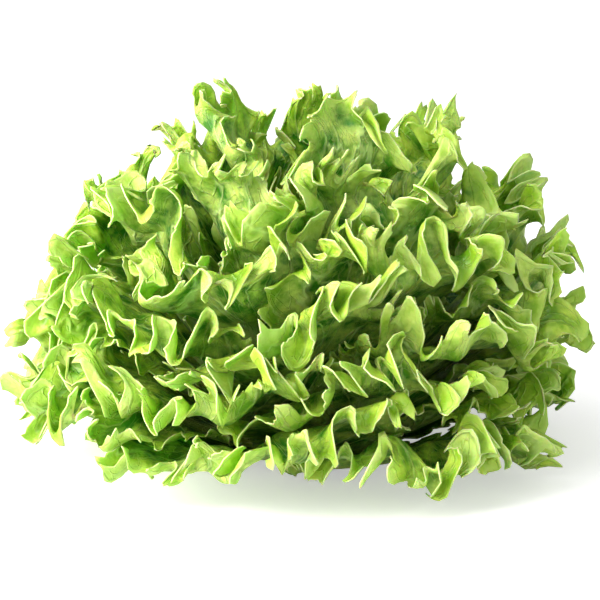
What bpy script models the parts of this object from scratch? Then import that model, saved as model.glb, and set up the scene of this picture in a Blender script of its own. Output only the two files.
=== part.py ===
"""A head of frilly green leaf lettuce, standing on its cut stem.

The stem is a short turned knob with a flat cut. Leaves grow from it in a spiral, each a golden angle
on from the last, from the upright heart leaves out to the old leaves that spread over the table.
Places in the head are polar about the crown, the middle of the knob: a reach from the crown, a lean
from the vertical and an azimuth from +X. At every reach the leaves keep their order of lean, and a
frill keeps to the room between the leaves below and above it, so that no leaf cuts another. At the
end the whole head sways up and down round the dome, which bends its rows but keeps their order.
"""

import math
import random

import bmesh
import bpy
import numpy as np

# Driving dimensions, in metres
HEAD_REACH = 0.152
CROWN_HEIGHT = 0.024
KNOB_RADIUS = 0.0195
CUT_RADIUS = 0.0150
CUT_CHAMFER = 0.0010
NECK_LOW = 0.0012
BASE_GAP = 0.0005
BLADE = 0.0010
RIB = 0.0026
HEART_RIB = 0.0013
FLOOR_CLEARANCE = 0.0012
LEAF_CLEARANCE = 0.0014

# The frill along a leaf's edge. The heart leaves have a share of its height and depth
FRILL_DEPTH = 0.038
FRILL_WAVE = 0.037
FRILL_RISE = 0.0142
FRILL_SWING = 0.0030
FRILL_CURL = 0.0080
CURL_LIMIT = 0.15
HEART_FRILL = 0.12
FRILL_FROM = 0.64
FRILL_START, FRILL_FULL = 0.04, 0.46
SAMPLES_PER_WAVE = 4

# How the leaves stand
LEAVES = 38
GOLDEN_ANGLE = math.radians(137.508)
FIRST_AZIMUTH = math.radians(40)
HEART_LEAN = math.radians(4.5)
OUTER_LEAN = math.radians(93)
LEAN_POWER = 0.70
HEART_ROOT = math.radians(14)
OUTER_ROOT = math.radians(126)
ROOT_POWER = 0.85
STRAIGHT_BY = 0.085
AXIS_LEAN = math.radians(1.5)
LENGTH_SPREAD = 0.005
SEED = 5

# The flat leaf: half widths, the reach of the lobes in its outline and the run of its midrib
HALF_WIDTH_OUTER = 0.086
HALF_WIDTH_HEART = 0.017
BASE_SHARE = 0.10
WIDEST = 0.63
ROUNDNESS = 1.25
LOBE_DEPTH = 0.006
LOBE_TURNS = (9, 13)
MIDRIB_SHARE = 0.52
VEIN_SPREAD = 1.3

# How far round the head a leaf wraps, and the room it finds there
WRAP_OUTER = math.radians(70)
WRAP_HEART = math.radians(125)
WANDER = 0.30
WANDER_TURNS = (7, 12)
FREE_SLOPE = 0.22
FREE_BEYOND = 0.040
MOST_ROOM = math.radians(5)
SIDE_STEPS = 60
SIDE_MARGIN = 0.004

# How the whole head sways: (turns round the head, start in radians, turn with reach in radians a metre)
SWAY = math.radians(3.5)
SWAY_WAVES = ((2, 0.4, 0), (3, 0, 14), (5, 0, -9))

# The dome isn't even: (lean, azimuth, spread in degrees, gain in reach in metres)
DOME_BUMPS = (
    (42, 25, 24, 0.022),
    (94, -6, 24, -0.036),
    (66, 0, 14, 0.006),
    (20, 180, 24, 0.012),
    (62, 180, 18, -0.008),
    (95, -90, 34, -0.014),
    (16, 40, 12, -0.010),
    (0, 0, 16, 0.012),
)

OUTLINE_STEPS = 400
DIRECTION_STEP = 0.004
STEM_FOOT_LEAN = math.radians(130)
STEM_RINGS = 9
STEM_TURNS = 20


def smooth(t):
    """An even rise from 0 to 1 with level ends."""
    t = np.clip(t, 0, 1)
    return t * t * (3 - 2 * t)


def turned(angle):
    """The same angle between -180 and 180 degrees, in radians."""
    return (angle + math.pi) % (2 * math.pi) - math.pi


def direction(lean, azimuth):
    return np.array(
        [math.sin(lean) * math.cos(azimuth), math.sin(lean) * math.sin(azimuth), math.cos(lean)]
    )


def dome_reach(lean, azimuth):
    """How far the head reaches from the crown in a direction."""
    here = direction(lean, azimuth)
    reach = HEAD_REACH
    for bump_lean, bump_azimuth, spread, gain in DOME_BUMPS:
        there = direction(math.radians(bump_lean), math.radians(bump_azimuth))
        apart = math.degrees(math.acos(max(-1.0, min(1.0, float(here @ there)))))
        reach += gain * math.exp(-((apart / spread) ** 2))
    return reach


def straightened(reach):
    """The share of the bend from a leaf's root to its straight blade that is done at a reach."""
    return smooth((reach - KNOB_RADIUS) / STRAIGHT_BY)


def floor_lean(reach):
    """The lean at which a blade would lie on the floor."""
    return np.arccos(np.clip((FLOOR_CLEARANCE + BLADE - CROWN_HEIGHT) / reach, -1, 1))


def wander(pair, azimuth):
    """How the border between a pair of leaves wanders to one side and the other, from -1 to 1."""
    slow, quick = WANDER_TURNS
    waves = np.sin(slow * azimuth + 2.1 * pair) + np.sin(quick * azimuth + 4.3 * pair)
    return WANDER * waves / 2


def swayed(lean, reach, azimuth):
    """The lean after the head's sway, which leaves the axis and the floor where they are."""
    waves = sum(np.sin(turns * azimuth + start + by * reach) for turns, start, by in SWAY_WAVES)
    share = np.clip(lean / floor_lean(reach), 0, 1)
    return lean + SWAY * waves * np.sin(math.pi * share) * straightened(reach)


class Leaf:
    """One leaf's place and size, worked out from its rank: 0 is the innermost."""

    def __init__(self, rank, draw):
        share = (rank + 0.6) / LEAVES
        self.rank = rank
        self.name = f"leaf_{LEAVES - rank:02d}"
        self.azimuth = FIRST_AZIMUTH + rank * GOLDEN_ANGLE
        self.tip_lean = HEART_LEAN + (OUTER_LEAN - HEART_LEAN) * share**LEAN_POWER
        self.root_lean = HEART_ROOT + (OUTER_ROOT - HEART_ROOT) * share**ROOT_POWER
        self.rib = HEART_RIB + (RIB - HEART_RIB) * share
        tip_reach = dome_reach(self.tip_lean, self.azimuth) + draw.uniform(-LENGTH_SPREAD, LENGTH_SPREAD)
        self.length = tip_reach - KNOB_RADIUS - BASE_GAP
        open_share = math.sin(self.tip_lean)
        self.half_width = HALF_WIDTH_HEART + (HALF_WIDTH_OUTER - HALF_WIDTH_HEART) * open_share
        self.half_width *= draw.uniform(0.93, 1.07)
        self.wrap = WRAP_HEART + (WRAP_OUTER - WRAP_HEART) * open_share
        self.frill_size = HEART_FRILL + (1 - HEART_FRILL) * open_share
        self.rise = FRILL_RISE * self.frill_size * draw.uniform(0.85, 1.15)
        self.set_outline(draw)
        self.side_reach = np.linspace(0, self.length + KNOB_RADIUS, SIDE_STEPS)
        self.side_extent = np.array([self.widest(reach) for reach in self.side_reach])

    def set_outline(self, draw):
        """The flat leaf's outline, from one base corner round the tip to the other, at even steps, and
        the frill's phase along it. The waves are longest at the base."""
        x = np.linspace(-1, 1, OUTLINE_STEPS)
        side = np.abs(x)
        bulge = np.sin(math.pi * side**WIDEST) ** ROUNDNESS
        across = self.half_width * np.sign(x) * (BASE_SHARE * side + bulge)
        lobes = np.cos(draw.uniform(*LOBE_TURNS) * x + draw.uniform(0, 2 * math.pi)) * np.sin(math.pi * side)
        along = self.length * (1 + np.cos(math.pi * x)) / 2
        along = along + LOBE_DEPTH * self.frill_size * lobes
        steps = np.hypot(np.diff(across), np.diff(along))
        run = np.concatenate([[0], np.cumsum(steps)])
        even = np.linspace(0, run[-1], OUTLINE_STEPS)
        self.outline_x = x
        self.outline_across = np.interp(even, run, across)
        self.outline_along = np.interp(even, run, along)
        tightness = 0.3 + 0.7 * smooth((self.outline_along / self.length - 0.05) / 0.35)
        turns = np.cumsum(tightness) / OUTLINE_STEPS * run[-1] / FRILL_WAVE
        self.waves = max(4, round(turns[-1]))
        turns = (turns - turns[0]) * self.waves / (turns[-1] - turns[0])
        warp = draw.uniform(0.25, 0.6) * np.sin(2.5 * math.pi * x + draw.uniform(0, 2 * math.pi))
        self.outline_phase = 2 * math.pi * turns + warp

    def outline(self, x):
        """The outline's point and its direction there, in the flat leaf."""
        across = np.interp(x, self.outline_x, self.outline_across)
        along = np.interp(x, self.outline_x, self.outline_along)
        ahead, behind = np.clip(x + DIRECTION_STEP, -1, 1), np.clip(x - DIRECTION_STEP, -1, 1)
        run_across = np.interp(ahead, self.outline_x, self.outline_across)
        run_across = run_across - np.interp(behind, self.outline_x, self.outline_across)
        run_along = np.interp(ahead, self.outline_x, self.outline_along)
        run_along = run_along - np.interp(behind, self.outline_x, self.outline_along)
        size = np.hypot(run_across, run_along)
        return across, along, run_across / size, run_along / size

    def widest(self, reach):
        """The azimuth to which the leaf goes on either side of its midrib at a reach."""
        near = np.abs(self.outline_along + KNOB_RADIUS + BASE_GAP - reach) < SIDE_MARGIN
        across = np.max(np.abs(self.outline_across), where=near, initial=0) + SIDE_MARGIN
        return float(self.fan(across, reach)[0])

    def extent(self, reach):
        """The same azimuth at any reach. Past the tip it falls below zero."""
        beyond = np.maximum(reach - self.side_reach[-1], 0) / FREE_BEYOND
        return np.interp(reach, self.side_reach, self.side_extent) - beyond

    def fan(self, across, reach):
        """The azimuth from the midrib of a place in the flat leaf, and how far the leaf is squeezed there."""
        reach = np.maximum(reach, KNOB_RADIUS)
        folded = np.tanh(across / (reach * np.sin(self.lean(reach)) * self.wrap))
        return self.wrap * folded, 1 - folded**2

    def lean(self, reach):
        """The unfrilled blade's lean at a reach: the root curves over into the straight blade."""
        return self.root_lean + (self.tip_lean - self.root_lean) * straightened(reach)

    def room(self, leaves, reach, azimuth):
        """The angles free inside and outside this leaf, to half way to the next leaves and to the floor."""
        lean = self.lean(reach)
        inside, outside = lean - AXIS_LEAN, floor_lean(reach) - lean
        for other in leaves:
            if other is self:
                continue
            past = np.abs(turned(azimuth - other.azimuth)) - other.extent(reach)
            free = FREE_SLOPE * np.maximum(past, 0)
            gap = np.abs(other.lean(reach) - lean)
            border = wander(self.rank + other.rank, azimuth)
            if other.rank > self.rank:
                outside = np.minimum(outside, gap * (1 + border) / 2 + free)
            else:
                inside = np.minimum(inside, gap * (1 - border) / 2 + free)
        return np.minimum(inside, MOST_ROOM), np.minimum(outside, MOST_ROOM)

    def blade(self, leaves, column, y):
        """Points on the middle of the blade. A column runs out as a vein does, from the midrib at y 0
        to the edge at y 1, and columns are spread along the edge by its waves."""
        phase = self.outline_phase[0] + (column + 1) / 2 * np.ptp(self.outline_phase)
        x = np.interp(phase, self.outline_phase, self.outline_x)
        edge_across, edge_along, run_across, run_along = self.outline(x)
        spine = MIDRIB_SHARE * self.length * (1 - np.abs(column) ** VEIN_SPREAD)
        vein = np.hypot(edge_across, edge_along - spine)
        depth = np.minimum(FRILL_DEPTH * self.frill_size, 0.85 * vein)
        frill = np.clip(1 - (1 - y) * vein / depth, 0, 1)
        frill = frill * smooth((edge_along / self.length - FRILL_START) / (FRILL_FULL - FRILL_START))
        curl = np.minimum(FRILL_CURL * self.frill_size / vein, CURL_LIMIT)
        out = y - curl * frill**3 * np.cos(phase) ** 2
        swing = FRILL_SWING * self.frill_size * frill**2 * np.sin(2 * phase)
        reach = KNOB_RADIUS + BASE_GAP + spine + (edge_along - spine) * out + run_along * swing
        turn, squeezed = self.fan(edge_across * out + run_across * swing, reach)
        azimuth = self.azimuth + turn
        inside, outside = self.room(leaves, reach, azimuth)
        half = np.maximum((inside + outside) / 2 - LEAF_CLEARANCE / reach, 0)
        height = np.minimum(self.rise / reach * squeezed, half) * frill**2 * np.cos(phase)
        middle = self.lean(reach) + (outside - inside) / 2 * straightened(reach)
        lean = swayed(middle + height, reach, azimuth)
        return np.stack(
            [
                reach * np.sin(lean) * np.cos(azimuth),
                reach * np.sin(lean) * np.sin(azimuth),
                CROWN_HEIGHT + reach * np.cos(lean),
            ],
            axis=1,
        )


def clear_scene():
    for obj in list(bpy.data.objects):
        bpy.data.objects.remove(obj, do_unlink=True)


def plain_material(name, colour, roughness):
    material = bpy.data.materials.new(name)
    material.use_nodes = True
    shader = material.node_tree.nodes["Principled BSDF"]
    shader.inputs["Base Color"].default_value = (*colour, 1)
    shader.inputs["Roughness"].default_value = roughness
    shader.inputs["Metallic"].default_value = 0
    return material


def leaf_sheet(leaf):
    """A flat sheet of the leaf's veins and edge: coarse by the midrib and finer in the frill."""
    columns = leaf.waves * SAMPLES_PER_WAVE // 2
    sheet = bmesh.new()
    bmesh.ops.create_grid(sheet, x_segments=columns, y_segments=1, size=1)
    for vertex in sheet.verts:
        vertex.co.y = (vertex.co.y + 1) / 2 * FRILL_FROM
    rim = [e for e in sheet.edges if min(v.co.y for v in e.verts) > FRILL_FROM / 2]
    split = bmesh.ops.subdivide_edges(sheet, edges=rim, cuts=1)["geom_split"]
    rim = [g for g in split if isinstance(g, bmesh.types.BMEdge)]
    grown = bmesh.ops.extrude_edge_only(sheet, edges=rim)["geom"]
    for vertex in (g for g in grown if isinstance(g, bmesh.types.BMVert)):
        vertex.co.y = 1
    bmesh.ops.triangulate(sheet, faces=sheet.faces[:])
    return sheet


def rib_weights(corners):
    """How near each corner of the sheet is to the midrib: 1 on it and 0 in the blade."""
    away = corners[:, 1] * (1 - 0.55 * np.abs(corners[:, 0]) ** 4)
    return np.clip(1 - away / 0.45, 0, 1)


def leaf_object(leaf, leaves, material, collection):
    """The sheet bent to the leaf's shape and thickened, most at the midrib."""
    sheet = leaf_sheet(leaf)
    corners = np.array([v.co[:] for v in sheet.verts])
    points = leaf.blade(leaves, corners[:, 0], corners[:, 1])
    for vertex, point in zip(sheet.verts, points):
        vertex.co = point
    mesh = bpy.data.meshes.new(leaf.name)
    sheet.to_mesh(mesh)
    sheet.free()
    obj = bpy.data.objects.new(leaf.name, mesh)
    collection.objects.link(obj)
    midrib = obj.vertex_groups.new(name="midrib")
    for index, weight in enumerate(rib_weights(corners)):
        midrib.add([index], float(weight), "REPLACE")
    weld = obj.modifiers.new("midrib seam", "WELD")
    weld.merge_threshold = 0.00002
    solid = obj.modifiers.new("blade", "SOLIDIFY")
    solid.thickness = leaf.rib
    solid.offset = 0
    solid.vertex_group = midrib.name
    solid.thickness_vertex_group = BLADE / leaf.rib
    mesh.materials.append(material)
    mesh.shade_smooth()


def stem_object(material, collection):
    """The cut stem: a knob that the leaves grow from, over a short neck with a flat cut."""
    profile = []
    for ring in range(STEM_RINGS + 1):
        lean = STEM_FOOT_LEAN * ring / STEM_RINGS
        height = CROWN_HEIGHT + KNOB_RADIUS * math.cos(lean)
        profile.append((KNOB_RADIUS * math.sin(lean), 0, height))
    profile += [(CUT_RADIUS, 0, NECK_LOW), (CUT_RADIUS - CUT_CHAMFER, 0, 0), (0, 0, 0)]
    mesh = bpy.data.meshes.new("stem")
    mesh.from_pydata(profile, [(k, k + 1) for k in range(len(profile) - 1)], [])
    obj = bpy.data.objects.new("stem", mesh)
    collection.objects.link(obj)
    screw = obj.modifiers.new("turned", "SCREW")
    screw.steps = screw.render_steps = STEM_TURNS
    screw.use_merge_vertices = True
    screw.merge_threshold = 0.00005
    mesh.materials.append(material)


def main():
    clear_scene()
    collection = bpy.data.collections.new("lettuce_head")
    bpy.context.scene.collection.children.link(collection)
    green = plain_material("leaf green", (0.22, 0.45, 0.05), 0.45)
    pale = plain_material("stem", (0.75, 0.78, 0.52), 0.55)
    draw = random.Random(SEED)
    leaves = [Leaf(rank, draw) for rank in range(LEAVES)]
    stem_object(pale, collection)
    for leaf in leaves:
        leaf_object(leaf, leaves, green, collection)


main()
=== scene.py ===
# %% [markdown]
# # A head of frilly leaf lettuce
#
# This lesson dresses a head of green leaf lettuce. The imported model gives each leaf a plain blade with
# a few big folds. Here every leaf is made again on the same plan, sampled finely enough for the lips,
# ruffles and teeth that a real edge has. Then it gets a leaf's colours: a pale midrib, a net of veins,
# lime faces and a thin light rim.
#
# ## The frame
#
# The frame is the finished model: its pieces, their places and the one body that they all belong to.
# The leaves are counted in it rather than written down, so that the plan below always has as many as
# the model.

# %% Load the frame
import math
import random
from types import SimpleNamespace

import bmesh
import bpy
import numpy as np
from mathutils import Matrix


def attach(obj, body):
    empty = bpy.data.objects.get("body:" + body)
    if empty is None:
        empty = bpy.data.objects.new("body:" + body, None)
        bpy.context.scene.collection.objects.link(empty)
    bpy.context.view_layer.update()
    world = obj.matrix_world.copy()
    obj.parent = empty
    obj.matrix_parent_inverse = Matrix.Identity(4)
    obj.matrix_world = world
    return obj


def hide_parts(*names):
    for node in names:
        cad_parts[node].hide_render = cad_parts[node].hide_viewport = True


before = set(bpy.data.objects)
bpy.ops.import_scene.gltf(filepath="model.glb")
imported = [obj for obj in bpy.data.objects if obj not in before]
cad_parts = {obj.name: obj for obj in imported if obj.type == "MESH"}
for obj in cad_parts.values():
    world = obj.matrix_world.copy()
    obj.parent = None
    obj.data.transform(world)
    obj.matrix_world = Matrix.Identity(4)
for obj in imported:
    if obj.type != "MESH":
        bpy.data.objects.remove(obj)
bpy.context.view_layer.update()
LEAF_NODES = sorted(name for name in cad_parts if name.startswith("leaf_"))

# %% [markdown]
# ## How a leaf's place is written
#
# Lettuce leaves all leave one short stem, so the handiest coordinates are polar about its middle, the
# crown: how far out a place is (reach), how far it leans from the vertical (lean) and which way it
# faces (azimuth). In them a flat leaf is nearly a surface of one lean, and two leaves can't cross if
# their leans keep their order. The values are those of the model, in metres and radians.

# %% The head's driving dimensions
HEAD_REACH = 0.152
CROWN_HEIGHT = 0.024
KNOB_RADIUS = 0.0195
CUT_RADIUS = 0.0150
BASE_GAP = 0.0005
FLOOR_CLEARANCE = 0.0016
LEAF_CLEARANCE = 0.0012

LEAVES = len(LEAF_NODES)
GOLDEN_ANGLE = math.radians(137.508)
FIRST_AZIMUTH = math.radians(40)
HEART_LEAN, OUTER_LEAN, LEAN_POWER = math.radians(4.5), math.radians(93), 0.70
HEART_ROOT, OUTER_ROOT, ROOT_POWER = math.radians(14), math.radians(126), 0.85
STRAIGHT_BY = 0.085
AXIS_LEAN = math.radians(1.5)
LENGTH_SPREAD = 0.005
SEED = 5

HALF_WIDTH_OUTER, HALF_WIDTH_HEART = 0.086, 0.017
WIDTH_SPREAD = (0.93, 1.07)
BASE_SHARE, WIDEST, ROUNDNESS = 0.10, 0.63, 1.25
LOBE_DEPTH, LOBE_TURNS = 0.006, (9, 13)
MIDRIB_SHARE, VEIN_SPREAD = 0.52, 1.3

WRAP_OUTER, WRAP_HEART = math.radians(70), math.radians(125)
WANDER, WANDER_TURNS, WANDER_SHIFTS = 0.30, (7, 12), (2.1, 4.3)
FREE_SLOPE, FREE_BEYOND, MOST_ROOM = 0.22, 0.040, math.radians(5)
SIDE_STEPS, SIDE_MARGIN = 60, 0.004
SWAY = math.radians(3.5)
SWAY_WAVES = ((2, 0.4, 0), (3, 0, 14), (5, 0, -9))

# (lean, azimuth, spread in degrees, gain in reach in metres)
DOME_BUMPS = (
    (42, 25, 24, 0.022),
    (94, -6, 24, -0.036),
    (66, 0, 14, 0.006),
    (20, 180, 24, 0.012),
    (62, 180, 18, -0.008),
    (95, -90, 34, -0.014),
    (16, 40, 12, -0.010),
    (0, 0, 16, 0.012),
)
print("leaves:", LEAVES, "bumps on the dome:", len(DOME_BUMPS))

# %% [markdown]
# ## The dome and its sway
#
# A real head is never an even dome: some leaves are longer, some rows ride up and others sink. It
# could be carved by hand, but then each leaf would have to be fitted to it. A few smooth bumps on one
# reach do it for all leaves at once, and a slow sway bends the rows of frills up and down together.

# %% Directions, bumps and sway
def smooth(t):
    """A ramp from 0 to 1 that starts and ends gently."""
    t = np.clip(t, 0, 1)
    return t * t * (3 - 2 * t)


def turned(angle):
    """The same angle, brought between half a turn back and half a turn on."""
    return (angle + math.pi) % (2 * math.pi) - math.pi


def direction(lean, azimuth):
    return np.array(
        [math.sin(lean) * math.cos(azimuth), math.sin(lean) * math.sin(azimuth), math.cos(lean)]
    )


def dome_reach(lean, azimuth):
    here = direction(lean, azimuth)
    reach = HEAD_REACH
    for bump_lean, bump_azimuth, spread, gain in DOME_BUMPS:
        there = direction(math.radians(bump_lean), math.radians(bump_azimuth))
        apart = math.degrees(math.acos(max(-1.0, min(1.0, float(here @ there)))))
        reach += gain * math.exp(-((apart / spread) ** 2))
    return reach


def straightened(reach):
    """How far a leaf has turned from its lean at the stem (0) to its lean at the tip (1)."""
    return smooth((reach - KNOB_RADIUS) / STRAIGHT_BY)


def floor_lean(reach):
    return np.arccos(np.clip((FLOOR_CLEARANCE - CROWN_HEIGHT) / reach, -1, 1))


def wander(pair, azimuth):
    """How the border between two neighbours wanders, so that their frills aren't equally deep."""
    slow, quick = (turns * azimuth + by * pair for turns, by in zip(WANDER_TURNS, WANDER_SHIFTS))
    return WANDER * (np.sin(slow) + np.sin(quick)) / 2


def swayed(lean, reach, azimuth):
    waves = sum(np.sin(turns * azimuth + start + by * reach) for turns, start, by in SWAY_WAVES)
    share = np.clip(lean / floor_lean(reach), 0, 1)
    return lean + SWAY * waves * np.sin(math.pi * share) * straightened(reach)


for side, side_azimuth in (("right", 0), ("back", 90), ("left", 180), ("front", -90)):
    reaches = [dome_reach(math.radians(lean), math.radians(side_azimuth)) for lean in (20, 50, 80)]
    print(side, "reach at leans of 20, 50 and 80 degrees:", [round(reach, 4) for reach in reaches])

# %% [markdown]
# ## One leaf's plan
#
# Each leaf is a golden angle on from the last, as in nature, so that no leaf hides the one below. One
# drawn leaf could be copied round the stem, but then all edges would wave alike, so every leaf works
# out its own plan from its rank. Its outline is an egg with shallow lobes. Waves are laid along it,
# and their phase is what every later step reads: the folds, the lips, the veins and the teeth follow
# it. The waves are loose near the foot and tight towards the tip, where a real blade has grown most
# along its edge. Each leaf also knows how much room it has before it meets its neighbours.

# %% The leaf's place, outline and waves
FRILL_WAVE = 0.037
HEART_FRILL = 0.12
OUTLINE_STEPS, OUTLINE_STEP = 400, 0.004
LOOSEST, TIGHT_FROM, TIGHT_OVER = 0.3, 0.05, 0.35
WARP, WARP_TURNS = (0.25, 0.6), 2.5
LEAST_WAVES = 4


class Leaf:
    """One leaf's place and size, worked out from its rank: 0 is the innermost."""

    def __init__(self, rank, draw):
        self.share = (rank + 0.6) / LEAVES
        self.rank = rank
        self.name = f"leaf_{LEAVES - rank:02d}"
        self.azimuth = FIRST_AZIMUTH + rank * GOLDEN_ANGLE
        self.tip_lean = HEART_LEAN + (OUTER_LEAN - HEART_LEAN) * self.share**LEAN_POWER
        self.root_lean = HEART_ROOT + (OUTER_ROOT - HEART_ROOT) * self.share**ROOT_POWER
        tip_reach = dome_reach(self.tip_lean, self.azimuth) + draw.uniform(-LENGTH_SPREAD, LENGTH_SPREAD)
        self.length = tip_reach - KNOB_RADIUS - BASE_GAP
        open_share = math.sin(self.tip_lean)
        self.half_width = HALF_WIDTH_HEART + (HALF_WIDTH_OUTER - HALF_WIDTH_HEART) * open_share
        self.half_width *= draw.uniform(*WIDTH_SPREAD)
        self.wrap = WRAP_HEART + (WRAP_OUTER - WRAP_HEART) * open_share
        self.frill_size = HEART_FRILL + (1 - HEART_FRILL) * open_share
        # The model draws a frill height here. It goes unused, but keeps the later draws the same.
        draw.uniform(0, 1)
        self.set_outline(draw)
        self.side_reach = np.linspace(0, self.length + KNOB_RADIUS, SIDE_STEPS)
        self.side_extent = np.array([self.widest(reach) for reach in self.side_reach])

    def set_outline(self, draw):
        """The outline in even steps, and the phase and pitch of the waves along it."""
        x = np.linspace(-1, 1, OUTLINE_STEPS)
        side = np.abs(x)
        bulge = np.sin(math.pi * side**WIDEST) ** ROUNDNESS
        across = self.half_width * np.sign(x) * (BASE_SHARE * side + bulge)
        lobes = np.cos(draw.uniform(*LOBE_TURNS) * x + draw.uniform(0, 2 * math.pi))
        lobes = lobes * np.sin(math.pi * side)
        along = self.length * (1 + np.cos(math.pi * x)) / 2
        along = along + LOBE_DEPTH * self.frill_size * lobes
        steps = np.hypot(np.diff(across), np.diff(along))
        run = np.concatenate([[0], np.cumsum(steps)])
        even = np.linspace(0, run[-1], OUTLINE_STEPS)
        self.outline_x = x
        self.outline_across = np.interp(even, run, across)
        self.outline_along = np.interp(even, run, along)
        tight = smooth((self.outline_along / self.length - TIGHT_FROM) / TIGHT_OVER)
        tightness = LOOSEST + (1 - LOOSEST) * tight
        turns = np.cumsum(tightness) / OUTLINE_STEPS * run[-1] / FRILL_WAVE
        self.waves = max(LEAST_WAVES, round(turns[-1]))
        turns = (turns - turns[0]) * self.waves / (turns[-1] - turns[0])
        warp = draw.uniform(*WARP) * np.sin(WARP_TURNS * math.pi * x + draw.uniform(0, 2 * math.pi))
        self.outline_phase = 2 * math.pi * turns + warp
        self.outline_pitch = 2 * math.pi * (even[1] - even[0]) / np.gradient(self.outline_phase)

    def outline(self, x):
        """A place on the outline and the outline's heading there."""
        ahead, behind = np.clip(x + OUTLINE_STEP, -1, 1), np.clip(x - OUTLINE_STEP, -1, 1)
        run_across = np.interp(ahead, self.outline_x, self.outline_across)
        run_across = run_across - np.interp(behind, self.outline_x, self.outline_across)
        run_along = np.interp(ahead, self.outline_x, self.outline_along)
        run_along = run_along - np.interp(behind, self.outline_x, self.outline_along)
        size = np.hypot(run_across, run_along)
        across = np.interp(x, self.outline_x, self.outline_across)
        along = np.interp(x, self.outline_x, self.outline_along)
        return across, along, run_across / size, run_along / size

    def widest(self, reach):
        near = np.abs(self.outline_along + KNOB_RADIUS + BASE_GAP - reach) < SIDE_MARGIN
        across = np.max(np.abs(self.outline_across), where=near, initial=0) + SIDE_MARGIN
        return float(self.fan(across, reach)[0])

    def extent(self, reach):
        """How far round the head this leaf goes on each side of its midrib."""
        beyond = np.maximum(reach - self.side_reach[-1], 0) / FREE_BEYOND
        return np.interp(reach, self.side_reach, self.side_extent) - beyond

    def fan(self, across, reach):
        """A distance from the midrib as an angle round the head, and how much it is squeezed."""
        reach = np.maximum(reach, KNOB_RADIUS)
        folded = np.tanh(across / (reach * np.sin(self.lean(reach)) * self.wrap))
        return self.wrap * folded, 1 - folded**2

    def lean(self, reach):
        return self.root_lean + (self.tip_lean - self.root_lean) * straightened(reach)

    def room(self, reach, azimuth):
        """The angles free inside and outside this leaf, half way to its neighbours and to the floor."""
        lean = self.lean(reach)
        inside, outside = lean - AXIS_LEAN, floor_lean(reach) - lean
        for other in leaves:
            if other is self:
                continue
            past = np.abs(turned(azimuth - other.azimuth)) - other.extent(reach)
            free = FREE_SLOPE * np.maximum(past, 0)
            gap = np.abs(other.lean(reach) - lean)
            border = wander(self.rank + other.rank, azimuth)
            if other.rank > self.rank:
                outside = np.minimum(outside, gap * (1 + border) / 2 + free)
            else:
                inside = np.minimum(inside, gap * (1 - border) / 2 + free)
        return np.minimum(inside, MOST_ROOM), np.minimum(outside, MOST_ROOM)


draw = random.Random(SEED)
leaves = [Leaf(rank, draw) for rank in range(LEAVES)]
print("waves along the leaves' edges:", [leaf.waves for leaf in leaves])
print("lengths in mm, heart to outside:", [round(leaf.length * 1000) for leaf in leaves])

# %% [markdown]
# ## Where the frill lies on a leaf
#
# A real leaf is smooth near its midrib and its foot, and frilled in a band along its edge. The band
# could be painted on as weights, leaf by leaf. Measured along the side veins, which leave the midrib
# and run out to the edge, it needs no painting and fits every outline: a point's place on its vein
# says how far it is into the frill. Heart leaves are young, so their band is narrower.

# %% The edge and the frilled band
FRILL_DEPTH, LEAST_FRILL, FRILL_VEIN_SHARE = 0.038, 0.35, 0.85
FRILL_FROM, FRILL_OVER = 0.04, 0.42


def edge_of(leaf, column):
    """The edge where the vein of each column ends: its place, heading, phase and pitch."""
    phase = leaf.outline_phase[0] + (column + 1) / 2 * np.ptp(leaf.outline_phase)
    x = np.interp(phase, leaf.outline_phase, leaf.outline_x)
    pitch = np.interp(phase, leaf.outline_phase, leaf.outline_pitch)
    across, along, run_across, run_along = leaf.outline(x)
    spine = MIDRIB_SHARE * leaf.length * (1 - np.abs(column) ** VEIN_SPREAD)
    return SimpleNamespace(
        phase=phase, pitch=pitch, across=across, along=along, run_across=run_across,
        run_along=run_along, spine=spine, vein=np.hypot(across, along - spine),
    )


def frilled(leaf, edge, y):
    """The frill's size on this leaf, its share at this edge and how far each point is into it."""
    size = LEAST_FRILL + (1 - LEAST_FRILL) * leaf.frill_size
    depth = np.minimum(FRILL_DEPTH * size, FRILL_VEIN_SHARE * edge.vein)
    base = smooth((edge.along / leaf.length - FRILL_FROM) / FRILL_OVER)
    return size, base, np.clip(1 - (1 - y) * edge.vein / depth, 0, 1) * base


def past(frill, start):
    """How far into the part of the frill that begins at start, growing faster towards the rim."""
    return np.clip((frill - start) / (1 - start), 0, 1) ** 2


def beats(rates, phase, start):
    """A slow, uneven beat along the edge, different on every leaf."""
    return sum(size * np.sin(rate * phase + shift * start) for rate, size, shift in rates)


middle_edge = edge_of(leaves[-1], np.zeros(1))
print("vein at the outer leaf's tip:", round(float(middle_edge.vein[0]) * 1000), "mm")

# %% [markdown]
# ## Folds, ruffles and curls
#
# An edge that grows faster than the blade inside it has to buckle. Big folds come first, smaller
# ruffles ride on them and the smallest curls ride on those. Each is a cosine along the edge that
# grows towards the rim. Their sizes beat slowly along the edge, and patches of tight curls take turns
# with calmer stretches, because an even frill would look machine made.
#
# A swing along the edge at twice the phase turns plain waves into round lobes with narrow necks. Past
# a certain swing the lobes turn into boxes, so it follows from each wave's own height and pitch.

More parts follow.
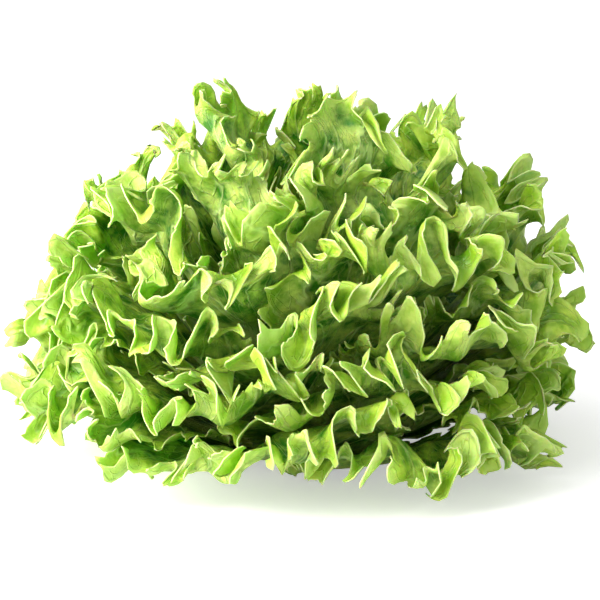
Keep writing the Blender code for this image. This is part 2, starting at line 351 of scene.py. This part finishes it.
# %% The waves of the frill
LEAF_SHIFT = 1.7
SWELL = ((0.37, 0.32, 1), (0.83, 0.20, 2))
PATCHES = ((0.29, 0.7, 3), (0.71, 0.4, 1))
FOLDS, FOLD_RISE, FOLD_SHARE, FOLD_POWER, PATCH_CALM = 1.8, 0.0142, 0.95, 1.5, 0.55
RUFFLES, RUFFLE_RISE, RUFFLE_SHARE, RUFFLE_FROM = 4.1, 0.0044, 0.50, 0.2
RUFFLE_CALM, RUFFLE_PATCH, RUFFLE_DRIFT = 0.06, 0.94, (1.1, 0.9)
CURLS, CURL_RISE, CURL_SHARE, CURL_FROM = 6.3, 0.0013, 0.20, 0.6
CURL_CALM, CURL_PATCH, CURL_DRIFT = 0.2, 1.0, (1.7, 0.7)
MEANDER, MEANDER_EASE = 0.66, 0.9


def drifting(waves, drift, phase, start):
    size, rate = drift
    return waves * phase + size * np.sin(rate * phase + start)


def frill_waves(leaf, edge, size, base, frill, half, squeezed):
    """The three waves at each point, as (height, phase, pitch), and the swell and the ruffles' share."""
    start = LEAF_SHIFT * leaf.rank
    swell = 1 + beats(SWELL, edge.phase, start)
    patch = smooth(0.5 + beats(PATCHES, edge.phase, start))
    ruffle = (RUFFLE_CALM + RUFFLE_PATCH * patch) * base * past(frill, RUFFLE_FROM)
    curl = (CURL_CALM + CURL_PATCH * patch) * base * past(frill, CURL_FROM)
    fold = np.minimum(FOLD_RISE * size * swell * squeezed, FOLD_SHARE * half)
    fold = fold * frill**FOLD_POWER * (1 - PATCH_CALM * patch)
    waves = (
        (fold, FOLDS * edge.phase, edge.pitch / FOLDS),
        (
            np.minimum(RUFFLE_RISE, RUFFLE_SHARE * half) * ruffle,
            drifting(RUFFLES, RUFFLE_DRIFT, edge.phase, start),
            edge.pitch / RUFFLES,
        ),
        (
            np.minimum(CURL_RISE, CURL_SHARE * half) * curl,
            drifting(CURLS, CURL_DRIFT, edge.phase, start),
            edge.pitch / CURLS,
        ),
    )
    return waves, swell, ruffle


def meander(height, phase, pitch):
    """How far a wave swings along the edge, so that its crests come out as round loops."""
    share = height / pitch
    return MEANDER * share**2 / (1 + MEANDER_EASE * share) * pitch * np.sin(2 * phase)


pitches = [round(FRILL_WAVE / count * 1000, 1) for count in (FOLDS, RUFFLES, CURLS)]
print("folds, ruffles and curls are", pitches, "mm long")

# %% [markdown]
# ## Lips and teeth
#
# On a real leaf the rim of each lobe rolls over and shows its other side. A rolled strip could be
# added along the edge. Drawing the rim in along its veins at every crest does the same with no extra
# surface. The very edge has small uneven teeth. They lie within the blade, so they change its outline
# and not its shading.

# %% The rim's lips and teeth
LIP_CURL, LIP_LIMIT, LIP_POWER = 0.0140, 0.34, 4
RUFFLE_LIP, RUFFLE_LIP_POWER = 0.0026, 1.5
TOOTH, TEETH, TOOTH_FROM, TOOTH_SHAPE, TOOTH_DRIFT = 0.0026, 15.3, 0.86, 0.7, (1.3, 1.9)


def drawn_in(edge, size, frill, swell, ruffle, waves):
    """How much of its vein a point is drawn in by the lips of the folds and ruffles."""
    (fold, fold_phase, _), (small, ruffle_phase, _), _ = waves
    lip = np.minimum(LIP_CURL * size * swell / edge.vein, LIP_LIMIT)
    lip = lip * frill**LIP_POWER * np.cos(fold_phase) ** 2
    return lip + RUFFLE_LIP / edge.vein * ruffle**RUFFLE_LIP_POWER * np.cos(ruffle_phase) ** 2


def toothed(leaf, edge, base, frill):
    size, rate = TOOTH_DRIFT
    drift = size * np.sin(rate * edge.phase + LEAF_SHIFT * leaf.rank)
    teeth = np.abs(np.sin(TEETH * edge.phase / 2 + drift)) ** TOOTH_SHAPE
    return TOOTH * (teeth - 0.5) * base * np.clip((frill - TOOTH_FROM) / (1 - TOOTH_FROM), 0, 1) / edge.vein


print("lips roll over by about", LIP_CURL * 1000, "mm and teeth are", TOOTH * 1000, "mm deep")

# %% [markdown]
# ## Crumpling the whole head
#
# Leaves that grow pressed together buckle together: a fold in one pushes its neighbours aside. Bent
# one by one, by a lattice each, they would run into each other. So the space that they stand in is
# itself bent, as if the head were a block of jelly with the leaves set in it. Each step slides the
# block along one axis, by waves over the other two. Such a slide alone can't make two leaves cross,
# however far it goes. Here it also fades out towards the crown, where the leaves are packed, and
# towards the floor that the head stands on. The fading bends the rule a little, so the slides are
# kept small. The finest ones act on the rims alone.

# %% Sliding space along its axes
SLIDE, SLIDE_FROM, SLIDE_FULL = 0.0027, 0.080, 0.135
SLIDE_WAVES = ((0.030, 35, 0.3), (0.036, -48, 1.9), (0.062, 62, 4.1), (0.043, -20, 2.6))
FINE_SLIDE, FINE_FROM, FINE_POWER = 0.0003, 0.3, 1.5
FINE_WAVES = ((0.0165, 10, 0.9), (0.0140, 75, 3.3), (0.0190, 130, 5.2))
SLIDE_X, SLIDE_Y, SLIDE_Z = 1.15, 1.10, 1.15
STILL_BELOW, FREE_OVER = 0.001, 0.025


def slide(waves, a, b, turn):
    """A smooth random-looking height over the plane of two coordinates."""
    total = 0
    for length, heading, start in waves:
        angle = math.radians(heading + turn)
        along = math.cos(angle) * a + math.sin(angle) * b
        total = total + np.sin(2 * math.pi * along / length + start + turn)
    return total


def crumpled(points, frill):
    """The points moved with the space around them, and their rims once more by finer slides."""
    x, y, z = points
    reach = np.sqrt(x**2 + y**2 + (z - CROWN_HEIGHT) ** 2)
    above = smooth((z - STILL_BELOW) / FREE_OVER)
    coarse = SLIDE * smooth((reach - SLIDE_FROM) / (SLIDE_FULL - SLIDE_FROM)) * above
    fine = FINE_SLIDE * np.clip((frill - FINE_FROM) / (1 - FINE_FROM), 0, 1) ** FINE_POWER * above
    for waves, share in ((SLIDE_WAVES, coarse), (FINE_WAVES, fine)):
        z = z + SLIDE_Z * share * slide(waves, x, y, 0)
        x = x + SLIDE_X * share * slide(waves, y, z, 40)
        y = y + SLIDE_Y * share * slide(waves, x, z, 85)
        z = z + SLIDE_Z * share * slide(waves, x, y, 130)
    return np.stack([x, y, z])


probe = np.array([[0.10], [-0.08], [0.09]])
moved = (crumpled(probe, np.ones(1)) - probe) * 1000
print("a point of the frills moves by", moved.ravel().round(1).tolist(), "mm")

# %% [markdown]
# ## From the plan to a place in space
#
# A cloth simulation could grow such a frill too, but it is slow and hard to steer. A formula gives
# the same leaf each time. It takes any point of a blade, named by its column (from one foot of the
# edge round to the other) and by how far out along its vein it lies. The plain leaf is placed first,
# to see how much room it has there. Then come the lips, teeth and swings within the blade, and last
# the waves' height as a change of lean, cut off where the neighbour's half of the room begins.

# %% Where a point of the frilled blade lies
def blade(leaf, column, y):
    """Points on the blade's middle, how far each is into the frill (0 to 1) and its phase."""
    edge = edge_of(leaf, column)
    size, base, frill = frilled(leaf, edge, y)
    root = KNOB_RADIUS + BASE_GAP + edge.spine
    reach = root + (edge.along - edge.spine) * y
    turn, squeezed = leaf.fan(edge.across * y, reach)
    inside, outside = leaf.room(reach, leaf.azimuth + turn)
    half = np.maximum((inside + outside) / 2 * reach - LEAF_CLEARANCE, 0)
    waves, swell, ruffle = frill_waves(leaf, edge, size, base, frill, half, squeezed)
    out = y - drawn_in(edge, size, frill, swell, ruffle, waves) + toothed(leaf, edge, base, frill)
    swing = sum(meander(*wave) for wave in waves)
    reach = root + (edge.along - edge.spine) * out + edge.run_along * swing
    turn, squeezed = leaf.fan(edge.across * out + edge.run_across * swing, reach)
    azimuth = leaf.azimuth + turn
    inside, outside = leaf.room(reach, azimuth)
    height = sum(rise * np.cos(phase) for rise, phase, pitch in waves)
    most = np.maximum((inside + outside) / 2 - LEAF_CLEARANCE / reach, 0)
    middle = leaf.lean(reach) + (outside - inside) / 2 * straightened(reach)
    lean = swayed(middle + np.clip(height / reach, -most, most), reach, azimuth)
    around = reach * np.sin(lean)
    points = np.stack(
        [around * np.cos(azimuth), around * np.sin(azimuth), CROWN_HEIGHT + reach * np.cos(lean)]
    )
    return crumpled(points, frill).T, frill, edge.phase


tip = blade(leaves[-1], np.zeros(1), np.ones(1))[0][0]
print("tip of the outer leaf, in mm:", (tip * 1000).round(1).tolist())

# %% [markdown]
# ## From a flat grid to a leaf
#
# The sheet starts as a plain grid. Its columns run out from the midrib as veins do, and its rows crowd
# towards the rim, where the shape changes fastest. Only the frill needs narrow columns, so the grid's
# outer edges are cut in two before the rim's rows grow from them. The two sides meet along the midrib,
# so the grid's first row will be welded to itself.

# %% The flat sheet
COLUMNS_PER_WAVE = 24
BLADE_ROWS, RIM_ROWS, RIM_FROM, RIM_CROWDING = 6, 9, 0.55, 1.4


def flat_sheet(leaf):
    """A flat grid, coarse in the blade and with twice the columns in the frill."""
    sheet = bmesh.new()
    bmesh.ops.create_grid(sheet, x_segments=leaf.waves * COLUMNS_PER_WAVE, y_segments=BLADE_ROWS, size=1)
    for vertex in sheet.verts:
        vertex.co.y = (vertex.co.y + 1) / 2 * RIM_FROM
    top = [e for e in sheet.edges if min(v.co.y for v in e.verts) > RIM_FROM * (1 - 0.5 / BLADE_ROWS)]
    rim = bmesh.ops.subdivide_edges(sheet, edges=top, cuts=1)["geom_split"]
    for row in range(1, RIM_ROWS + 1):
        rim = [item for item in rim if isinstance(item, bmesh.types.BMEdge)]
        grown = bmesh.ops.extrude_edge_only(sheet, edges=rim)["geom"]
        corners = {item for item in grown if isinstance(item, bmesh.types.BMVert)}
        for corner in corners:
            corner.co.y = 1 - (1 - RIM_FROM) * (1 - row / RIM_ROWS) ** RIM_CROWDING
        rim = [e for e in grown if isinstance(e, bmesh.types.BMEdge) and set(e.verts) <= corners]
    return sheet


trial = flat_sheet(leaves[-1])
print("faces of the outer leaf's flat sheet:", len(trial.faces))
trial.free()

# %% [markdown]
# ## The bent sheet and its thickness
#
# A lettuce leaf is thin, soft tissue on a thick, juicy midrib. Both sides of the blade could be
# modelled, but then every change would have to be made twice. Here each point of the flat sheet moves
# to its place, and a Solidify modifier thickens the sheet, more at the midrib. It also gives the back
# of the leaf and the thin rim materials of their own. The points keep what the materials read later:
# how near they are to the midrib and how far into the frill.

# %% The bent sheet and its thickness
BLADE, RIB, HEART_RIB, RIB_POWER = 0.0007, 0.0024, 0.0012, 1.5
RIB_ENDS, RIB_NARROWS, RIB_SPREAD = 0.45, 0.55, 4
WELD = 0.00002


def leaf_mesh(leaf):
    """The bent sheet as a mesh, with a UV map in waves and rows and a colour attribute of its parts."""
    sheet = flat_sheet(leaf)
    flat = np.array([v.co[:] for v in sheet.verts])
    column, y = flat[:, 0], flat[:, 1]
    points, frill, phase = blade(leaf, column, y)
    rib = np.clip(1 - y * (1 - RIB_NARROWS * np.abs(column) ** RIB_SPREAD) / RIB_ENDS, 0, 1)
    uv = sheet.loops.layers.uv.new("leaf")
    look = sheet.verts.layers.float_color.new("look")
    for index, vertex in enumerate(sheet.verts):
        vertex.co = points[index]
        vertex[look] = (rib[index], frill[index], leaf.share, 1)
        for loop in vertex.link_loops:
            loop[uv].uv = (phase[index] / (2 * math.pi), y[index])
    bmesh.ops.remove_doubles(sheet, verts=sheet.verts[:], dist=WELD)
    bmesh.ops.recalc_face_normals(sheet, faces=sheet.faces[:])
    if sum(f.normal.z * f.calc_area() for f in sheet.faces) < 0:
        bmesh.ops.reverse_faces(sheet, faces=sheet.faces[:])
    mesh = bpy.data.meshes.new(leaf.name + "_frilled")
    sheet.to_mesh(mesh)
    sheet.free()
    return mesh


def thickened(piece, rib_thickness):
    """A live thickness: the full one at the midrib, and the blade's where its weight is nothing."""
    midrib = piece.vertex_groups.new(name="midrib")
    for index, item in enumerate(piece.data.attributes["look"].data):
        midrib.add([index], float(item.color[0]) ** RIB_POWER, "REPLACE")
    solid = piece.modifiers.new("blade", "SOLIDIFY")
    solid.thickness = rib_thickness
    solid.offset = 0
    solid.vertex_group = midrib.name
    solid.thickness_vertex_group = BLADE / rib_thickness
    solid.material_offset = 1
    solid.material_offset_rim = 2


print("blade, thinnest and thickest midrib in mm:", [round(t * 1000, 1) for t in (BLADE, HEART_RIB, RIB)])

# %% [markdown]
# ## Small helpers for materials
#
# A material here is a chain of a few kinds of step: a noise, a mask that ramps between two values, and
# a mix of two colours. Each kind is a short function, so that the materials below read as recipes.

# %% Noise, ranges, mixes and products
def noise(tree, vector, scale, detail=2.0, roughness=0.5):
    node = tree.nodes.new("ShaderNodeTexNoise")
    node.inputs["Scale"].default_value = scale
    node.inputs["Detail"].default_value = detail
    node.inputs["Roughness"].default_value = roughness
    tree.links.new(vector, node.inputs["Vector"])
    return node.outputs


def ranged(tree, value, start, end, low=0.0, high=1.0, shape="LINEAR"):
    node = tree.nodes.new("ShaderNodeMapRange")
    node.interpolation_type = shape
    node.inputs["From Min"].default_value = start
    node.inputs["From Max"].default_value = end
    node.inputs["To Min"].default_value = low
    node.inputs["To Max"].default_value = high
    tree.links.new(value, node.inputs["Value"])
    return node.outputs["Result"]


def mixed(tree, factor, low, high):
    """A colour between two others, each a colour or a socket."""
    mix = tree.nodes.new("ShaderNodeMixRGB")
    for socket, value in ((mix.inputs["Color1"], low), (mix.inputs["Color2"], high)):
        if isinstance(value, tuple):
            socket.default_value = (*value, 1)
        else:
            tree.links.new(value, socket)
    tree.links.new(factor, mix.inputs["Fac"])
    return mix.outputs["Color"]


def joined(tree, operation, a, b):
    """Two values joined by one sum: the larger of them, their product and so on."""
    node = tree.nodes.new("ShaderNodeMath")
    node.operation = operation
    tree.links.new(a, node.inputs[0])
    tree.links.new(b, node.inputs[1])
    return node.outputs["Value"]


print("kinds of step:", [step.__name__ for step in (noise, ranged, mixed, joined)])

# %% [markdown]
# ## The net of veins
#
# Seen close, a lettuce leaf is a pale net of veins over green tissue that bulges a little between
# them. Painting it on every leaf would take days, and the borders of a Voronoi pattern are just such
# a net. It is laid in the leaf's own UV map, so that its meshes stretch along the real veins, and it
# is bent by a noise, so that no line is straight. A coarse net and a fine one are laid over each
# other. All leaf materials need the same net, mottling and relief, so they are one node group.

# %% The vein net as a node group
# (stretch of the UV map, width of a line, strength)
NETS = (((2.0, 1.3, 1), 0.055, 1.0), ((6.0, 7.0, 1), 0.05, 0.45))
WOBBLE_SCALE, WOBBLE = 6, 0.10
MOTTLE_SCALE, MOTTLE_DETAIL, MOTTLE_ROUGHNESS = 85, 4, 0.6
BLISTER_SCALE, BLISTER_HEIGHT = 340, 0.5


def net_lines(tree, bent, stretch, width, strength):
    stretched = tree.nodes.new("ShaderNodeMapping")
    stretched.inputs["Scale"].default_value = stretch
    tree.links.new(bent, stretched.inputs["Vector"])
    cells = tree.nodes.new("ShaderNodeTexVoronoi")
    cells.feature = "DISTANCE_TO_EDGE"
    cells.inputs["Scale"].default_value = 1.0
    tree.links.new(stretched.outputs["Vector"], cells.inputs["Vector"])
    return ranged(tree, cells.outputs["Distance"], 0, width, strength, 0, "SMOOTHSTEP")


def vein_group():
    group = bpy.data.node_groups.new("leaf net", "ShaderNodeTree")
    for name in ("Veins", "Mottle", "Relief"):
        group.interface.new_socket(name, in_out="OUTPUT", socket_type="NodeSocketFloat")
    uv = group.nodes.new("ShaderNodeUVMap")
    uv.uv_map = "leaf"
    bent = group.nodes.new("ShaderNodeMixRGB")
    bent.blend_type = "LINEAR_LIGHT"
    bent.inputs["Fac"].default_value = WOBBLE
    group.links.new(uv.outputs["UV"], bent.inputs["Color1"])
    group.links.new(noise(group, uv.outputs["UV"], WOBBLE_SCALE)["Color"], bent.inputs["Color2"])
    lines = [net_lines(group, bent.outputs["Color"], *net) for net in NETS]
    veins = joined(group, "MAXIMUM", *lines)
    place = group.nodes.new("ShaderNodeTexCoord").outputs["Object"]
    mottle = noise(group, place, MOTTLE_SCALE, MOTTLE_DETAIL, MOTTLE_ROUGHNESS)["Fac"]
    relief = group.nodes.new("ShaderNodeMath")
    relief.operation = "MULTIPLY_ADD"
    relief.inputs[1].default_value = BLISTER_HEIGHT
    group.links.new(noise(group, place, BLISTER_SCALE)["Fac"], relief.inputs[0])
    group.links.new(veins, relief.inputs[2])
    ends = group.nodes.new("NodeGroupOutput")
    for name, value in (("Veins", veins), ("Mottle", mottle), ("Relief", relief.outputs["Value"])):
        group.links.new(value, ends.inputs[name])
    return group


LEAF_NET = vein_group()
print("nodes in the net:", len(LEAF_NET.nodes))

# %% [markdown]
# ## A leaf's three greens
#
# The blade's colour is deep green inside the head, a painted shade where little light falls, then lime
# towards the frill. It is paler still in a band along the rim, partly the margin's own colour and
# partly a painted highlight. Its back is paler than its face and duller, and the narrow edge of the
# blade is palest of all, partly its own colour and partly painted highlight. All three are one recipe
# with other greens. Light goes a little way into a leaf and comes out green, which the subsurface part
# does. A picture of a leaf could be wrapped on each blade instead, but it would bring its own light and
# shade along, and blur when seen close.

# %% The leaf materials
# The first range ramps from a painted shade, deep green inside the head, to lime towards the rim.
FRILL_SHADE_RAMP, MOTTLE_GREENS, RIB_EDGE = (0.30, 1.0), (0.40, 0.64), (0.55, 0.95)
# The pale band along the rim is partly the margin's own paler colour and partly a painted highlight.
PALE_HIGHLIGHT_BAND, PALE_HIGHLIGHT_SHARE = (0.82, 1.0), 0.5
RIM_VEINS = 0.35
SHEEN_MOTTLE, SHEEN_LOW, SHEEN_HIGH = (0.3, 0.7), -0.06, 0.08
BUMP_STRENGTH, BUMP_HEIGHT = 0.85, 0.0013
GLOW, GLOW_COLOURS, GLOW_DEPTH = 0.45, (0.35, 1.0, 0.08), 0.0025
LEAF_GLOSS = 0.45


def leaf_material(name, painted_shade, lime, bright, vein_and_highlight_colour, rib_colour, vein_strength, roughness):
    material = bpy.data.materials.new(name)
    material.use_nodes = True
    tree = material.node_tree
    shader = tree.nodes["Principled BSDF"]
    net = tree.nodes.new("ShaderNodeGroup")
    net.node_tree = LEAF_NET
    mottle = net.outputs["Mottle"]
    look = tree.nodes.new("ShaderNodeAttribute")
    look.attribute_name = "look"
    parts = tree.nodes.new("ShaderNodeSeparateColor")
    tree.links.new(look.outputs["Color"], parts.inputs["Color"])
    rib, frill = parts.outputs["Red"], parts.outputs["Green"]
    # Painted shade: deep green where the blade lies low inside the head, lime towards the frill.
    colour = mixed(tree, ranged(tree, frill, *FRILL_SHADE_RAMP), painted_shade, lime)
    colour = mixed(tree, ranged(tree, mottle, *MOTTLE_GREENS), colour, bright)
    # A paler band at the rim: partly the margin's own colour, partly a painted highlight on the lit rims.
    colour = mixed(tree, ranged(tree, frill, *PALE_HIGHLIGHT_BAND, 0, PALE_HIGHLIGHT_SHARE), colour, vein_and_highlight_colour)
    strength = ranged(tree, frill, 0, 1, vein_strength, RIM_VEINS * vein_strength)
    colour = mixed(tree, joined(tree, "MULTIPLY", net.outputs["Veins"], strength), colour, vein_and_highlight_colour)
    colour = mixed(tree, ranged(tree, rib, *RIB_EDGE), colour, rib_colour)
    tree.links.new(colour, shader.inputs["Base Color"])
    dull = ranged(tree, mottle, *SHEEN_MOTTLE, roughness + SHEEN_LOW, roughness + SHEEN_HIGH)
    tree.links.new(dull, shader.inputs["Roughness"])
    bump = tree.nodes.new("ShaderNodeBump")
    bump.inputs["Strength"].default_value = BUMP_STRENGTH
    bump.inputs["Distance"].default_value = BUMP_HEIGHT
    tree.links.new(net.outputs["Relief"], bump.inputs["Height"])
    tree.links.new(bump.outputs["Normal"], shader.inputs["Normal"])
    shader.inputs["Subsurface Weight"].default_value = GLOW
    shader.inputs["Subsurface Radius"].default_value = GLOW_COLOURS
    shader.inputs["Subsurface Scale"].default_value = GLOW_DEPTH
    shader.inputs["Specular IOR Level"].default_value = LEAF_GLOSS
    return material


# In every recipe the deepest green is painted shade for the parts that lie inside the head.
FACE = leaf_material(
    "leaf face", painted_shade=(0.020, 0.15, 0.001), lime=(0.325, 0.54, 0.016), bright=(0.48, 0.65, 0.070),
    vein_and_highlight_colour=(0.50, 0.68, 0.16), rib_colour=(0.42, 0.60, 0.13), vein_strength=0.55, roughness=0.42,
)
BACK = leaf_material(
    "leaf back", painted_shade=(0.035, 0.19, 0.003), lime=(0.39, 0.58, 0.046), bright=(0.54, 0.69, 0.14),
    vein_and_highlight_colour=(0.58, 0.74, 0.26), rib_colour=(0.48, 0.66, 0.19), vein_strength=0.7, roughness=0.5,
)
# The rim's pale greens are partly the blade edge's own colour and partly a painted highlight.
RIM = leaf_material(
    "leaf rim", painted_shade=(0.24, 0.43, 0.05), lime=(0.56, 0.69, 0.25), bright=(0.66, 0.76, 0.37),
    vein_and_highlight_colour=(0.66, 0.78, 0.32), rib_colour=(0.70, 0.80, 0.42), vein_strength=0.4, roughness=0.36,
)
print("materials:", [material.name for material in (FACE, BACK, RIM)])

# %% [markdown]
# ## Every leaf in its place
#
# Each leaf is one object, as it is one thing on the plant, and takes the place of the plain leaf with
# the same number. The midrib is thicker on the outer leaves, which are older. The pieces are shaded
# smooth, because a leaf has no edge but its rim.

# %% Every leaf in its place
triangles = 0
for leaf in leaves:
    piece = bpy.data.objects.new(leaf.name + "_frilled", leaf_mesh(leaf))
    bpy.context.scene.collection.objects.link(piece)
    thickened(piece, HEART_RIB + (RIB - HEART_RIB) * leaf.share)
    for material in (FACE, BACK, RIM):
        piece.data.materials.append(material)
    piece.data.shade_smooth()
    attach(piece, "root")
    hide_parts(leaf.name)
    # Solidify gives the sheet a second side, so each of its faces counts twice.
    triangles += 2 * sum(len(p.vertices) - 2 for p in piece.data.polygons)
print("leaves:", len(leaves), "triangles without their rims:", triangles)

# %% [markdown]
# ## The stem
#
# Under the leaves is the short stem that they all grow from, cut flat when the head was picked. It is
# a turned shape: a knob, a neck that narrows and the flat cut. Drawing half its section and spinning
# it once round is the shortest way to it.

# %% A turned stem
NECK_LOW, CUT_CHAMFER = 0.0012, 0.0010
STEM_FOOT_LEAN, STEM_RINGS, STEM_TURNS = math.radians(130), 24, 72


def stem_mesh():
    stem = bmesh.new()
    corners = []
    for ring in range(STEM_RINGS + 1):
        lean = STEM_FOOT_LEAN * ring / STEM_RINGS
        corners.append((KNOB_RADIUS * math.sin(lean), CROWN_HEIGHT + KNOB_RADIUS * math.cos(lean)))
    corners += [(CUT_RADIUS, NECK_LOW), (CUT_RADIUS - CUT_CHAMFER, 0), (0, 0)]
    line = [stem.verts.new((radius, 0, height)) for radius, height in corners]
    edges = [stem.edges.new(pair) for pair in zip(line, line[1:])]
    bmesh.ops.spin(
        stem, geom=line + edges, cent=(0, 0, 0), axis=(0, 0, 1), angle=2 * math.pi, steps=STEM_TURNS
    )
    bmesh.ops.remove_doubles(stem, verts=stem.verts[:], dist=WELD)
    bmesh.ops.recalc_face_normals(stem, faces=stem.faces[:])
    mesh = bpy.data.meshes.new("stem_turned")
    stem.to_mesh(mesh)
    stem.free()
    return mesh


stem_shape = stem_mesh()
print("stem faces:", len(stem_shape.polygons))

# %% [markdown]
# ## The cut stem's colours
#
# A fresh cut is cream and soon gets brown specks. Higher up the stem is as green as the foot of a
# leaf. A noise makes the specks, and the height above the floor makes the change to green.

# %% The stem's material and its place
GRAIN_SCALE, GRAIN, GREENING = 160, (0.35, 0.7), (0.002, 0.030)
CREAM, BROWN, STEM_GREEN = (0.62, 0.66, 0.34), (0.50, 0.42, 0.20), (0.40, 0.58, 0.13)
STEM_ROUGHNESS, STEM_GLOW, STEM_GLOW_DEPTH = 0.55, 0.2, 0.002


def stem_material():
    material = bpy.data.materials.new("cut stem")
    material.use_nodes = True
    tree = material.node_tree
    shader = tree.nodes["Principled BSDF"]
    place = tree.nodes.new("ShaderNodeTexCoord").outputs["Object"]
    height = tree.nodes.new("ShaderNodeSeparateXYZ")
    tree.links.new(place, height.inputs["Vector"])
    grain = ranged(tree, noise(tree, place, GRAIN_SCALE)["Fac"], *GRAIN)
    cream = mixed(tree, grain, CREAM, BROWN)
    green = mixed(tree, ranged(tree, height.outputs["Z"], *GREENING), cream, STEM_GREEN)
    tree.links.new(green, shader.inputs["Base Color"])
    shader.inputs["Roughness"].default_value = STEM_ROUGHNESS
    shader.inputs["Subsurface Weight"].default_value = STEM_GLOW
    shader.inputs["Subsurface Scale"].default_value = STEM_GLOW_DEPTH
    return material


stem = bpy.data.objects.new("stem_turned", stem_shape)
bpy.context.scene.collection.objects.link(stem)
stem.data.materials.append(stem_material())
stem.data.shade_smooth()
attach(stem, "root")
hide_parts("stem")
print("stem material:", stem.data.materials[0].name)

# %% [markdown]
# ## The floor
#
# The head stands on white paper, as produce does in a catalogue. The paper has to look white to the
# camera and still show the head's soft shadow. If it glowed on the leaves too, the low frills would be
# lit from below and the head would seem to float, so it glows for the camera's own rays only.

# %% The paper floor
FLOOR_HALF, PAPER_GREY, PAPER_ROUGHNESS, PAPER_GLOW = 6, 0.9, 0.9, 0.45


def paper_material():
    paper = bpy.data.materials.new("white paper")
    paper.use_nodes = True
    tree = paper.node_tree
    shader = tree.nodes["Principled BSDF"]
    shader.inputs["Base Color"].default_value = (PAPER_GREY, PAPER_GREY, PAPER_GREY, 1)
    shader.inputs["Roughness"].default_value = PAPER_ROUGHNESS
    shader.inputs["Emission Color"].default_value = (1, 1, 1, 1)
    seen = tree.nodes.new("ShaderNodeLightPath").outputs["Is Camera Ray"]
    tree.links.new(ranged(tree, seen, 0, 1, 0, PAPER_GLOW), shader.inputs["Emission Strength"])
    return paper


sheet = bmesh.new()
bmesh.ops.create_grid(sheet, x_segments=1, y_segments=1, size=FLOOR_HALF)
floor_mesh = bpy.data.meshes.new("floor")
sheet.to_mesh(floor_mesh)
sheet.free()
floor = bpy.data.objects.new("floor", floor_mesh)
floor.data.materials.append(paper_material())
bpy.context.scene.collection.objects.link(floor)
print("floor:", 2 * FLOOR_HALF, "m wide")

# %% [markdown]
# ## The light
#
# One small lamp would draw a hard shadow behind every frill, so the light is soft. It comes mostly
# from above and from the left. A wide sun stands for the ceiling, a large disc for a window at the
# left, and a weaker disc at the front right opens the shadows. White walls all round are the world's
# colour. They are dimmer for the leaves than for the camera, or no shade would be left between the
# frills.

# %% Walls and lamps
WALL_LIGHT, WALL_WHITE = 0.51, 1.0
SUN_STRENGTH, SUN_WIDTH, SUN_TURN = 1.0, math.radians(35), (math.radians(32), 0, math.radians(-50))
LAMP_AIM = (0, 0, 0.09)

world = bpy.data.worlds.new("studio")
world.use_nodes = True
walls = world.node_tree
walls.nodes["Background"].inputs["Color"].default_value = (1, 1, 1, 1)
seen = walls.nodes.new("ShaderNodeLightPath").outputs["Is Camera Ray"]
walls.links.new(
    ranged(walls, seen, 0, 1, WALL_LIGHT, WALL_WHITE), walls.nodes["Background"].inputs["Strength"]
)
bpy.context.scene.world = world


def add_lamp(name, lamp, place, rotation):
    holder = bpy.data.objects.new(name, lamp)
    holder.location = place
    holder.rotation_euler = rotation
    bpy.context.scene.collection.objects.link(holder)


def add_disc(name, place, size, energy, colour=(1, 1, 1)):
    """A round lamp that faces the head."""
    lamp = bpy.data.lights.new(name, "AREA")
    lamp.shape, lamp.size, lamp.energy, lamp.color = "DISK", size, energy, colour
    back = np.array(place) - np.array(LAMP_AIM)
    yaw, tilt = math.atan2(back[0], -back[1]), math.atan2(math.hypot(back[0], back[1]), back[2])
    add_lamp(name, lamp, place, (tilt, 0, yaw))


sun = bpy.data.lights.new("ceiling", "SUN")
sun.energy, sun.angle = SUN_STRENGTH, SUN_WIDTH
add_lamp("ceiling", sun, (0, 0, 0), SUN_TURN)
add_disc("left window", (-0.75, -0.40, 0.50), size=0.9, energy=20, colour=(1.0, 0.98, 0.95))
add_disc("fill", (0.9, -1.1, 0.5), size=0.9, energy=2.5)
bpy.context.scene.view_settings.view_transform = "Standard"
print("lamps:", [light.name for light in bpy.data.lights])

# %% [markdown]
# ## The camera
#
# The camera looks down on the head by a dozen degrees, far enough away that near leaves don't look
# much larger than far ones. The lens follows from the distance and from how many millimetres of the
# head one pixel shows, so the head fills the frame as it should whatever the distance is.

# %% The camera
PIXEL, FRAME_PIXELS = 0.000508, 600
CAMERA_ELEVATION, CAMERA_DISTANCE = math.radians(12), 1.3
AIM = (0, 0, 0.079)
SENSOR = 36

lens = bpy.data.cameras.new("camera")
lens.sensor_width = SENSOR
lens.lens = SENSOR * CAMERA_DISTANCE / (FRAME_PIXELS * PIXEL)
camera = bpy.data.objects.new("camera", lens)
camera.location = (
    AIM[0],
    AIM[1] - CAMERA_DISTANCE * math.cos(CAMERA_ELEVATION),
    AIM[2] + CAMERA_DISTANCE * math.sin(CAMERA_ELEVATION),
)
camera.rotation_euler = (math.pi / 2 - CAMERA_ELEVATION, 0, 0)
bpy.context.scene.collection.objects.link(camera)
bpy.context.scene.camera = camera
print("lens:", round(lens.lens, 1), "mm")
